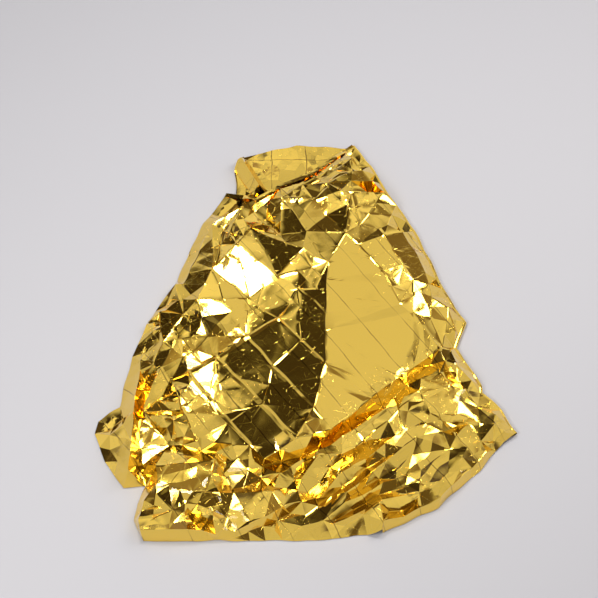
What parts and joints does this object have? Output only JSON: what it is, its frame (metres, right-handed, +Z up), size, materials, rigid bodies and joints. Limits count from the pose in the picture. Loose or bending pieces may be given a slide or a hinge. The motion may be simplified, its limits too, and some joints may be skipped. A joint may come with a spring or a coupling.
{
  "type": "emergency foil blanket",
  "caption": "Gold emergency foil blanket, one crumpled sheet of metallised film folded round like a cape and laid flat.",
  "frame": {"origin": "middle of the laid blanket's plan, on the floor that it lies on", "axes": "+X across the laid blanket to the viewer's right, +Y from the lower hem towards the collar, +Z up from the floor"},
  "size_m": [1.0579, 1.1706, 0.0959],
  "materials": {
    "gold_film": "gold metallised, mirror gloss"
  },
  "bodies": {
    "root": {"blanket": "gold_film"}
  },
  "joints": []
}
